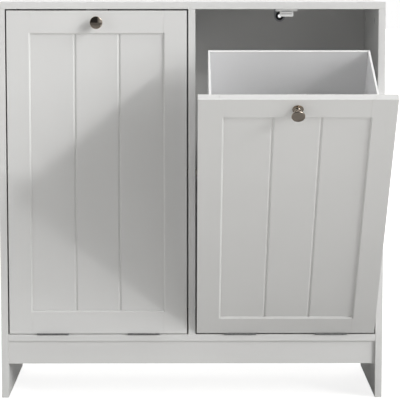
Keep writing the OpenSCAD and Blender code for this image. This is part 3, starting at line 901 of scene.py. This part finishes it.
@cache
def fastener_tree() -> Tree:
    """Geometry nodes that set one screw, nail or rivet on each point, along the point's lead.

    Returns:
        The node tree.
    """
    wiring, given, end = new_group(
        "Driven fasteners", "GeometryNodeTree",
        dict(Geometry=GEOMETRY, Head_Radius=FLOAT, Head_Foot=FLOAT, Head_Height=FLOAT, Shank_Radius=FLOAT,
             Length=FLOAT, Recess_Length=FLOAT, Recess_Width=FLOAT, Recess_Depth=FLOAT, Recessed=CHOICE,
             Turn_Seed=WHOLE, Material=MATERIAL),
        dict(Geometry=GEOMETRY))
    head_sides, shank_sides = 24, 16
    exact = {"solver": "EXACT"}

    def lowered(shape: Node, depth: Socket) -> Node:
        """Moves a shape down from its middle."""
        return wiring.add("GeometryNodeTransform", Geometry=shape,
                          Translation=wiring.point(Z=wiring.times(depth, -1.0)))

    cone = wiring.add("GeometryNodeMeshCone", Vertices=head_sides, Radius_Top=given["Head Radius"],
                      Radius_Bottom=given["Head Foot"], Depth=given["Head Height"])
    overlap = wiring.times(given["Head Height"], 0.5)
    shank_length = wiring.maths("SUBTRACT", given["Length"], overlap)
    centre = wiring.maths("ADD", overlap, wiring.times(shank_length, 0.5))
    rod = wiring.add("GeometryNodeMeshCylinder", Vertices=shank_sides, Radius=given["Shank Radius"],
                     Depth=shank_length)
    solid = wiring.add("GeometryNodeMeshBoolean", {"operation": "UNION"} | exact,
                       Mesh_2=lowered(cone, given["Head Height"]))
    wiring.feed(solid, Mesh_2=lowered(rod, centre))
    cut = wiring.add("GeometryNodeMeshBoolean", {"operation": "DIFFERENCE"} | exact, Mesh_1=solid)
    twice_deep = wiring.times(given["Recess Depth"], 2.0)
    for along, across in (("X", "Y"), ("Y", "X")):
        size = {along: given["Recess Length"], across: given["Recess Width"], "Z": twice_deep}
        wiring.feed(cut, Mesh_2=wiring.add("GeometryNodeMeshCube", Size=wiring.point(**size)))
    chosen = wiring.add("GeometryNodeSwitch", {"input_type": "GEOMETRY"},
                        **{"Switch": given["Recessed"], "False": solid, "True": cut})
    lead = wiring.add("GeometryNodeInputNamedAttribute", {"data_type": "FLOAT_VECTOR"}, Name=LEAD_LAYER)
    aimed = wiring.add("FunctionNodeAlignRotationToVector", {"axis": "Z"}, Vector=lead.outputs["Attribute"])
    angle = wiring.add("FunctionNodeRandomValue", {"data_type": "FLOAT"}, Seed=given["Turn Seed"])
    wiring.join_in_turn((0.0, math.pi), of_type(angle.inputs, "VALUE"))
    spin = wiring.add("FunctionNodeAxisAngleToRotation", Axis=(0.0, 0.0, 1.0),
                      Angle=of_type(angle.outputs, "VALUE")[0])
    turned = wiring.add("FunctionNodeRotateRotation", {"rotation_space": "LOCAL"}, Rotation=aimed,
                        Rotate_By=spin)
    placed = wiring.add("GeometryNodeInstanceOnPoints", Points=given["Geometry"], Instance=chosen,
                        Rotation=turned)
    wiring.feed(end, Geometry=wiring.dressed(placed, given["Material"]))
    return wiring.tree


@dataclass(frozen=True)
class FastenerKind:
    """One kind of screw, nail or rivet. The recess is the length of its cross, 0 for none."""

    head_radius: float
    head_height: float
    shank_radius: float
    countersunk: bool = False
    recess: float = 0.0
    recess_slimness: float = 0.22
    recess_depth_share: float = 0.6

    def grow(self, tops: Sequence[tuple[Vector, Vector]], length: float, seed: int) -> Mesh:
        """Sets one of this kind at each place.

        Args:
            tops: The middle of each head's outer face and the direction that it looks.
            length: Length from the head's outer face to the tip.
            seed: Seed of the random turns.

        Returns:
            Their mesh.
        """
        points = bpy.data.meshes.new("points")
        points.from_pydata([top for top, _ in tops], [], [])
        leads = points.attributes.new(LEAD_LAYER, "FLOAT_VECTOR", "POINT")
        for value, (_, lead) in zip(leads.data, tops):
            value.vector = lead
        return grown_mesh(
            points, fastener_tree(), Head_Radius=self.head_radius, Head_Height=self.head_height,
            Head_Foot=self.shank_radius if self.countersunk else self.head_radius,
            Shank_Radius=self.shank_radius, Length=length, Recessed=self.recess > 0.0,
            Recess_Length=self.recess, Recess_Width=self.recess * self.recess_slimness,
            Recess_Depth=self.head_height * self.recess_depth_share, Turn_Seed=seed,
            Material=material_of(FINISHES[Slot.ZINC_STEEL]),
        )


# In turn a countersunk screw, a rivet, a nail and a screw with a cylindrical head
KINDS = (
    FastenerKind(head_radius=0.0029, head_height=0.0014, shank_radius=0.0015, countersunk=True,
                 recess=0.0034),
    FastenerKind(head_radius=0.0032, head_height=0.0009, shank_radius=0.0016),
    FastenerKind(head_radius=0.0024, head_height=0.0008, shank_radius=0.0009),
    FastenerKind(head_radius=0.0042, head_height=0.0024, shank_radius=0.002, recess=0.0048),
)


def islands(bm: Shape) -> list[list[Vector]]:
    """The separate solids of a mesh, each as its points.

    Args:
        bm: The welded mesh.

    Returns:
        The points of each solid, in the order of the solids' middles.
    """
    left = set(bm.verts)
    found = []
    while left:
        grown = [left.pop()]
        for vert in grown:
            for edge in vert.link_edges:
                other = edge.other_vert(vert)
                if other in left:
                    left.remove(other)
                    grown.append(other)
        found.append([vert.co.copy() for vert in grown])

    def middle(points: list[Vector]) -> tuple[float, ...]:
        """The rounded mean of a solid's points."""
        return tuple(round(value, DECIMALS) for value in sum(points, Vector()) / len(points))

    return sorted(found, key=middle)


def read_fastener(points: Sequence[Vector]) -> tuple[float, float, list[tuple[Vector, Vector]]]:
    """Reads a fastener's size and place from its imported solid.

    Args:
        points: The solid's points, with its axis along X, Y or Z.

    Returns:
        The head's radius, the length, and the outer middle and direction of each head.
    """
    low, high = box_of(points)
    span, centre = high - low, (low + high) / 2
    axis = min(range(3), key=lambda i: abs(span[(i + 1) % 3] - span[(i + 2) % 3]))
    along = Vector([1.0 if i == axis else 0.0 for i in range(3)])

    def reach(level: float) -> float:
        """Largest distance from the axis of the points at a level."""
        near = [p for p in points if abs(p[axis] - level) < HAIR]
        return max(((p - centre) - along * (p - centre).dot(along)).length for p in near)

    least_share = 0.8
    ends = [(reach(high[axis]), along, high[axis]), (reach(low[axis]), -along, low[axis])]
    widest = max(radius for radius, _, _ in ends)
    heads = []
    for radius, lead, level in ends:
        if radius > widest * least_share:
            top = centre.copy()
            top[axis] = level
            heads.append((top, lead))
    return widest, span[axis], heads


def driven_piece(node: str, body: str, place: Matrix, seed: int) -> Piece:
    """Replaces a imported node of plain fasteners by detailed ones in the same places.

    Args:
        node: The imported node.
        body: The body that it rides on.
        place: Carries the closed door's points to rest.
        seed: Seed of the heads' turns.

    Returns:
        The piece.
    """
    bm = node_mesh(node)
    bm.transform(place.inverted())
    sorts: dict[tuple[int, float], list] = {}
    for points in islands(bm):
        radius, length, heads = read_fastener(points)
        kind = min(range(len(KINDS)), key=lambda i: abs(KINDS[i].head_radius - radius))
        if len(heads) > 1:
            length = length / 2 - HAIR
        sorts.setdefault((kind, round(length, DECIMALS)), []).extend(heads)
    bm.free()
    whole = bmesh.new()
    for (kind, length), tops in sorted(sorts.items(), key=lambda item: item[0]):
        pour(KINDS[kind].grow(tops, length, seed), whole)
    return set_piece(node, mesh_from(whole, place), body, Slot.ZINC_STEEL)


# Sub-assemblies

LEAF_EASING = Easing(0.00012, shortest=0.0008, segments=2)


@dataclass
class Carcass:
    """The boards that stand still: top, sides, middle, bottom, plinth and back."""

    board: Easing = Easing(0.0006)
    back: Easing = Easing(0.0003)

    def build(self) -> list[Piece]:
        """Builds the boards.

        Returns:
            The pieces.
        """
        boards = ("top_panel", "left_side_panel", "right_side_panel", "center_divider", "bottom_panel",
                  "front_plinth")
        made = [eased_piece(node, CARCASS, Slot.PAINTED_BOARD, self.board) for node in boards]
        # The back panel takes the darker copy of the bin board: partly the carcass's warm white, partly
        # painted shade of the deep interior.
        made.append(eased_piece("back_panel", CARCASS, Slot.BIN_BOARD, self.back, BACK_BOARD_TONE_AND_SHADE))
        return made


@dataclass
class CarcassFittings:
    """Everything of metal, plastic, rubber and wood that holds the carcass together and to the wall."""

    housing: Easing = Easing(0.0005, shortest=0.002)
    lock: Easing = Easing(0.00025, shortest=0.0002, segments=2)
    bracket: Easing = Easing(0.00025, shortest=0.0006, segments=2)
    washer_hole: float = 0.004
    washer_round: float = 0.0007
    washer_facets: int = 64
    seed: int = 3

    def build(self) -> list[Piece]:
        """Builds the new fittings, and dresses those that stay as packed.

        Returns:
            The new pieces.
        """
        made = [eased_piece(f"{side.value}_catch_housing", CARCASS, Slot.WHITE_PLASTIC, self.housing)
                for side in Side]
        for node, easing in (("cam_locks", self.lock), ("wall_brackets", self.bracket),
                             ("hinge_frame_leaves", LEAF_EASING)):
            made.append(eased_piece(node, CARCASS, Slot.ZINC_STEEL, easing))
        made.append(self.washers())
        for node in ("carcass_screws", "back_panel_nails"):
            made.append(driven_piece(node, CARCASS, Matrix.Identity(4), self.seed))
        for node, slot in (
            ("cam_bolts", Slot.ZINC_STEEL), ("wood_dowels", Slot.BEECH), ("catch_magnets", Slot.FERRITE),
            ("catch_pole_plates", Slot.ZINC_STEEL), ("hinge_pins", Slot.ZINC_STEEL),
            ("stay_pins", Slot.ZINC_STEEL), ("stay_sleeves", Slot.PALE_NYLON),
        ):
            dress_node(node, slot)
        return made

    def washers(self) -> Piece:
        """Turns the two rubber washers, with rounded rims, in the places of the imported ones.

        Returns:
            The piece.
        """
        node = "wall_bracket_washers"
        low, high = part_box(node)
        middle_z, soft = (low.z + high.z) / 2, self.washer_round
        inside, outside = self.washer_hole + soft, (high.z - low.z) / 2 - soft
        under, over = soft, high.y - low.y - soft
        corners = (
            ((inside, under), 180), ((outside, under), 270), ((outside, over), 0), ((inside, over), 90))
        outline = [point for centre, start in corners
                   for point in arc(centre, soft, start, start + 90, steps=4)]
        pair = bmesh.new()
        for side in Side:
            seat = Matrix.Translation((side.middle_x, high.y, middle_z))
            place = seat @ Matrix.Rotation(math.pi / 2, 4, "X")
            pour(mesh_from(lathe(outline, self.washer_facets), place), pair)
        return set_piece(node, mesh_from(pair), CARCASS, Slot.BLACK_RUBBER)


@cache
def grooved_tree() -> Tree:
    """Geometry nodes that cut evenly spaced V grooves into a board.

    Returns:
        The node tree.
    """
    wiring, given, end = new_group(
        "Grooved panel", "GeometryNodeTree",
        dict(Geometry=GEOMETRY, Plank_Count=WHOLE, Plank_Width=FLOAT, Groove_Width=FLOAT,
             Groove_Depth=FLOAT, Height=FLOAT, Material=MATERIAL),
        dict(Geometry=GEOMETRY))
    past_the_ends = 1.1
    cutter = wiring.add("GeometryNodeMeshCylinder", Vertices=4, Radius=1.0,
                        Depth=wiring.times(given["Height"], past_the_ends))
    grooves = wiring.maths("SUBTRACT", given["Plank Count"], 1.0)
    half_span = wiring.times(wiring.maths("SUBTRACT", grooves, 1.0), -0.5)
    first = wiring.point(X=wiring.times(half_span, given["Plank Width"]))
    line = wiring.add("GeometryNodeMeshLine", Count=grooves, Start_Location=first,
                      Offset=wiring.point(X=given["Plank Width"]))
    half_width = wiring.times(given["Groove Width"], 0.5)
    shape = wiring.point(X=half_width, Y=given["Groove Depth"], Z=1.0)
    cutters = wiring.add("GeometryNodeInstanceOnPoints", Points=line, Instance=cutter, Scale=shape)
    real = wiring.add("GeometryNodeRealizeInstances", Geometry=cutters)
    cut = wiring.add("GeometryNodeMeshBoolean", {"operation": "DIFFERENCE", "solver": "EXACT"},
                     Mesh_1=given["Geometry"], Mesh_2=real)
    wiring.feed(end, Geometry=wiring.dressed(cut, given["Material"]))
    return wiring.tree


@dataclass
class TiltOutDoor:
    """One framed door with its grooved panel, knob and fittings."""

    side: Side
    member: Easing = Easing(0.0004)
    groove: Easing = Easing(0.0003, sharp=20.0)
    strike: Easing = Easing(0.0002, shortest=0.002, segments=2)
    stay: Easing = Easing(0.0003, shortest=0.0004, segments=2)
    plank_count: int = 3
    groove_width: float = 0.007
    groove_depth: float = 0.003
    groove_smooth: float = 25.0
    tongue: float = 0.008
    knob_head: float = 0.0135
    knob_foot: float = 0.011
    knob_neck: float = 0.005
    knob_projection: float = 0.024
    knob_rim: float = 0.0022
    knob_rim_drop: float = 0.004
    knob_smooth: float = 50.0
    knob_facets: int = 96
    fastener_seed: int = 11
    knob_screw_seed: int = 5

    def node(self, part: str) -> str:
        """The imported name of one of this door's parts."""
        return f"{self.side.value}_{part}"

    def build(self) -> list[Piece]:
        """Builds the door.

        Returns:
            The pieces.
        """
        body, place = self.side.body, self.side.place
        members = ("door_left_stile", "door_right_stile", "door_top_rail", "door_bottom_rail")
        made = [eased_piece(self.node(part), body, Slot.PAINTED_BOARD, self.member) for part in members]
        made += [self.panel(), self.knob()]
        for part, easing in (("strike_plate", self.strike), ("door_hinge_leaves", LEAF_EASING),
                             ("door_left_stay", self.stay), ("door_right_stay", self.stay)):
            made.append(eased_piece(self.node(part), body, Slot.ZINC_STEEL, easing))
        for part, seed in (("door_fasteners", self.fastener_seed), ("knob_screw", self.knob_screw_seed)):
            made.append(driven_piece(self.node(part), body, place, seed))
        return made

    def panel(self) -> Piece:
        """Cuts the grooved panel and eases its grooves.

        Returns:
            The piece.
        """
        node = self.node("door_panel")
        closed = node_mesh(node)
        closed.transform(self.side.place.inverted())
        low, high = box_of(vert.co for vert in closed.verts)
        closed.free()
        size = high - low
        board = bmesh.new()
        bmesh.ops.create_cube(board, size=1.0)
        front_at_zero = Matrix.Translation((0.0, size.y / 2, 0.0)) @ Matrix.Diagonal((*size, 1.0))
        bm = bmesh.new()
        pour(grown_mesh(
            mesh_from(board, front_at_zero), grooved_tree(), Plank_Count=self.plank_count,
            Plank_Width=(size.x - 2 * self.tongue) / self.plank_count, Groove_Width=self.groove_width,
            Groove_Depth=self.groove_depth, Height=size.z,
            Material=material_of(FINISHES[Slot.PAINTED_BOARD]),
        ), bm)
        self.groove.ease(bm)
        middle = Matrix.Translation(((low.x + high.x) / 2, low.y, (low.z + high.z) / 2))
        mesh = mesh_from(bm, self.side.place @ middle)
        return set_piece(node, mesh, self.side.body, Slot.PAINTED_BOARD, self.groove_smooth)

    def knob_outline(self) -> list[Span]:
        """Draws the mushroom knob: a flat foot, a coved neck and a domed head with a rounded rim.

        Returns:
            Distance from the axis and height above the door of each point.
        """
        head, foot, neck, top, rim = (
            self.knob_head, self.knob_foot, self.knob_neck, self.knob_projection, self.knob_rim)
        foot_thick, foot_under, foot_over, foot_wall = 0.0016, 0.0005, 0.0004, 0.0006
        least_ledge, cove_limit, flare_limit = 0.001, 0.0046, 0.005
        lip_angle, dome_gap, dome_end = 60, 1.5, 88.0
        rim_z = top - self.knob_rim_drop
        cove = min(foot - neck - least_ledge, cove_limit)
        flare = min(head - neck - rim, flare_limit)
        dome_foot = head - rim + rim * math.cos(math.radians(lip_angle))
        dome_rise = top - rim_z - rim * math.sin(math.radians(lip_angle))
        dome = (dome_foot ** 2 + dome_rise ** 2) / (2 * dome_rise)
        dome_start = math.degrees(math.acos(dome_foot / dome)) + dome_gap
        return [
            (0.0, 0.0), (foot - foot_over, 0.0),
            *arc((foot - foot_under, foot_under), foot_under, -45, 0, steps=3),
            (foot, foot_thick - foot_wall),
            *arc((foot - foot_over, foot_thick - foot_over), foot_over, 0, 90, steps=4),
            *arc((neck + cove, foot_thick + cove), cove, 270, 180, steps=14),
            *arc((neck + flare, rim_z - rim - flare), flare, 180, 90, steps=14),
            *arc((head - rim, rim_z), rim, -90, lip_angle, steps=16),
            *arc((0.0, top - dome), dome, dome_start, dome_end, steps=14),
            (0.0, top),
        ]

    def knob(self) -> Piece:
        """Turns the knob and sets it over its screw.

        Returns:
            The piece.
        """
        low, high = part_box(self.node("knob_screw"))
        screw = self.side.place.inverted() @ ((low + high) / 2)
        closed_front_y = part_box("top_panel")[0].y
        seat = Matrix.Translation((self.side.middle_x, closed_front_y, screw.z))
        place = self.side.place @ seat @ Matrix.Rotation(math.pi / 2, 4, "X")
        mesh = mesh_from(lathe(self.knob_outline(), self.knob_facets), place)
        return set_piece(self.node("knob"), mesh, self.side.body, Slot.POLISHED_NICKEL, self.knob_smooth)


@dataclass
class Bin:
    """The board bin behind one door."""

    side: Side
    board: Easing = Easing(0.0004)
    band: Easing = Easing(0.0002, segments=2)
    strip: Easing = Easing(0.0003, shortest=0.004, segments=2)

    def build(self) -> list[Piece]:
        """Builds the bin.

        Returns:
            The pieces.
        """
        boards = ("left_side", "right_side", "back", "base")
        parts = [(part, Slot.BIN_BOARD, self.board) for part in boards]
        parts.append(("edge_band", Slot.WHITE_PLASTIC, self.band))
        parts.append(("angle_strips", Slot.WHITE_PLASTIC, self.strip))
        return [eased_piece(f"{self.side.value}_bin_{part}", self.side.body, slot, easing)
                for part, slot, easing in parts]


# Studio


@dataclass(frozen=True)
class Lamp:
    """One lamp, far away. Angles are degrees, azimuth 0 is in front of the doors and 90 to their right.

    A lamp that isn't mirrored lights the cabinet but leaves no spot in its metal and paint.
    """

    name: str
    azimuth: float
    elevation: float
    width: float
    strength: float
    mirrored: bool = False

    def hang(self) -> None:
        """Hangs the lamp."""
        light = bpy.data.lights.new(self.name, "SUN")
        light.energy = self.strength * math.pi
        light.angle = math.radians(self.width)
        lamp = stood(self.name, light)
        side, height = math.radians(self.azimuth), math.radians(self.elevation)
        flat = math.cos(height)
        towards = Vector((math.sin(side) * flat, -math.cos(side) * flat, math.sin(height)))
        lamp.visible_glossy = self.mirrored
        lamp.rotation_mode = "QUATERNION"
        lamp.rotation_quaternion = towards.to_track_quat("Z", "Y")


LAMPS = (
    Lamp("key_end", 43.5, 18.3, 2.5, 0.06),
    Lamp("key", 46.0, 17.8, 3.0, 0.08),
    Lamp("key_streak_near", 50.0, 21.3, 4.5, 0.08),
    Lamp("key_streak", 55.0, 24.5, 6.5, 0.115),
    Lamp("key_streak_far", 61.0, 23.0, 10.0, 0.105),
    Lamp("key_spill", 66.0, 32.0, 18.0, 0.095, mirrored=True),
    Lamp("right_high", 75.0, 38.0, 30.0, 0.15, mirrored=True),
    Lamp("right_soft", 85.0, 22.0, 30.0, 0.1),
    Lamp("low_spill", 50.0, 6.0, 20.0, 0.185),
    Lamp("front_fill", 25.0, 8.0, 24.0, 0.07),
    Lamp("overhead", -75.0, 68.0, 24.0, 0.36),
    Lamp("left_fill", -50.0, 10.0, 30.0, 0.117),
    Lamp("back_fill", 180.0, 40.0, 50.0, 0.38),
)


@dataclass
class Studio:
    """The floor, the light and the camera.

    The floor's spans are places along Y. The room and its window are what metal and paint mirror, and their
    spans are parts of the direction that a mirrored ray goes.
    """

    floor_reach: float = 30.0
    floor_drop: float = 0.0002
    floor_colour: Colour = (0.555, 0.55, 0.54)
    floor_glow: float = 0.8
    floor_behind: Span = (0.5, 2.5)
    floor_front: float = 1.6
    floor_front_span: Span = (-1.3, -0.4)
    floor_mirrored_near: float = 0.5
    floor_mirrored_far: float = 0.26
    floor_mirrored_span: Span = (-3.0, -1.0)
    fill: float = 0.02
    fill_colour: Colour = (1.0, 0.99, 0.975)
    room_dark: float = 0.03
    room_white: float = 1.0
    room_back: Span = (-0.2, 0.3)
    room_right: float = 0.5
    room_right_span: Span = (0.08, 0.5)
    window: float = 3.0
    window_right: Span = (0.3, 0.5)
    window_height: Span = (0.35, 0.55)
    window_front: Span = (-0.4, -0.1)
    eye: tuple[float, float, float] = (-0.0069, -4.0601, 0.9014)
    pitch_down: float = 6.548
    turn_left: float = -0.339
    lens: float = 174.5
    sensor: float = 36.0
    sight: float = 100.0

    def build(self) -> None:
        """Sets up the studio."""
        self.floor()
        for lamp in LAMPS:
            lamp.hang()
        self.world()
        self.camera()
        bpy.context.scene.view_settings.view_transform = "Standard"

    def floor(self) -> None:
        """Lays the white floor, which keeps the cabinet's shadow."""
        bm = bmesh.new()
        bmesh.ops.create_grid(bm, x_segments=1, y_segments=1, size=self.floor_reach)
        plane = stood("studio_floor", mesh_from(bm, Matrix.Translation((0.0, 0.0, -self.floor_drop))))
        material = bpy.data.materials.new("studio_floor")
        wiring = emptied(material)
        colour = self.floor_colour
        path = wiring.add("ShaderNodeLightPath").outputs
        place_y = wiring.parts(wiring.add("ShaderNodeTexCoord").outputs["Object"])["Y"]
        shone = wiring.times(path["Is Glossy Ray"], wiring.spread(place_y, self.floor_behind))
        dimmed = wiring.maths("SUBTRACT", path["Is Glossy Ray"], shone)
        laid = wiring.blend(wiring.fall(place_y, self.floor_front_span), opaque(colour),
                            opaque(colour, self.floor_front))
        mirrored = wiring.blend(wiring.fall(place_y, self.floor_mirrored_span),
                                opaque(colour, self.floor_mirrored_near),
                                opaque(colour, self.floor_mirrored_far))
        matt = wiring.add("ShaderNodeBsdfDiffuse", Color=wiring.blend(dimmed, laid, mirrored))
        seen = wiring.maths("MAXIMUM", path["Is Camera Ray"], path["Is Transmission Ray"], shone)
        glow = wiring.add("ShaderNodeEmission", Color=opaque(WHITE),
                          Strength=wiring.times(seen, self.floor_glow))
        wiring.add("ShaderNodeOutputMaterial", Surface=wiring.add("ShaderNodeAddShader", None, matt, glow))
        plane.data.materials.append(material)

    def world(self) -> None:
        """Makes the white background, the even fill light and the room that metal and paint mirror."""
        world = bpy.data.worlds.new("studio")
        bpy.context.scene.world = world
        wiring = emptied(world)
        path = wiring.add("ShaderNodeLightPath").outputs
        to = wiring.parts(wiring.add("ShaderNodeTexCoord").outputs["Generated"])
        window = wiring.times(wiring.spread(to["X"], self.window_right, 0.0, self.window),
                              wiring.spread(to["Z"], self.window_height),
                              wiring.fall(to["Y"], self.window_front))
        room = wiring.maths("ADD", wiring.spread(to["Y"], self.room_back, self.room_dark, self.room_white),
                            wiring.spread(to["X"], self.room_right_span, 0.0, self.room_right), window)
        even, mirrored, white = (
            wiring.add("ShaderNodeBackground", Color=opaque(colour), Strength=strength)
            for colour, strength in ((self.fill_colour, self.fill), (WHITE, room), (WHITE, 1.0)))
        lit = wiring.add("ShaderNodeMixShader", None, path["Is Glossy Ray"], even, mirrored)
        seen = wiring.maths("MAXIMUM", path["Is Camera Ray"], path["Is Transmission Ray"])
        shown = wiring.add("ShaderNodeMixShader", None, seen, lit, white)
        wiring.add("ShaderNodeOutputWorld", Surface=shown)

    def camera(self) -> None:
        """Sets up the camera where the photograph was taken from."""
        data = bpy.data.cameras.new("camera")
        data.lens = self.lens
        data.sensor_width = self.sensor
        data.clip_end = self.sight
        camera = stood("camera", data)
        camera.location = self.eye
        camera.rotation_euler = (math.radians(90.0 - self.pitch_down), 0.0, math.radians(self.turn_left))
        bpy.context.scene.camera = camera


def main() -> None:
    """Builds the cabinet, sub-assembly by sub-assembly, and its studio."""
    logging.basicConfig(level=logging.INFO, format="%(name)s: %(message)s")
    assemblies = [Carcass(), CarcassFittings()]
    for side in Side:
        assemblies += [TiltOutDoor(side), Bin(side)]
    for assembly in assemblies:
        made = assembly.build()
        log.info("%s: %d pieces", type(assembly).__name__, len(made))
    Studio().build()


if __name__ == "__main__":
    main()
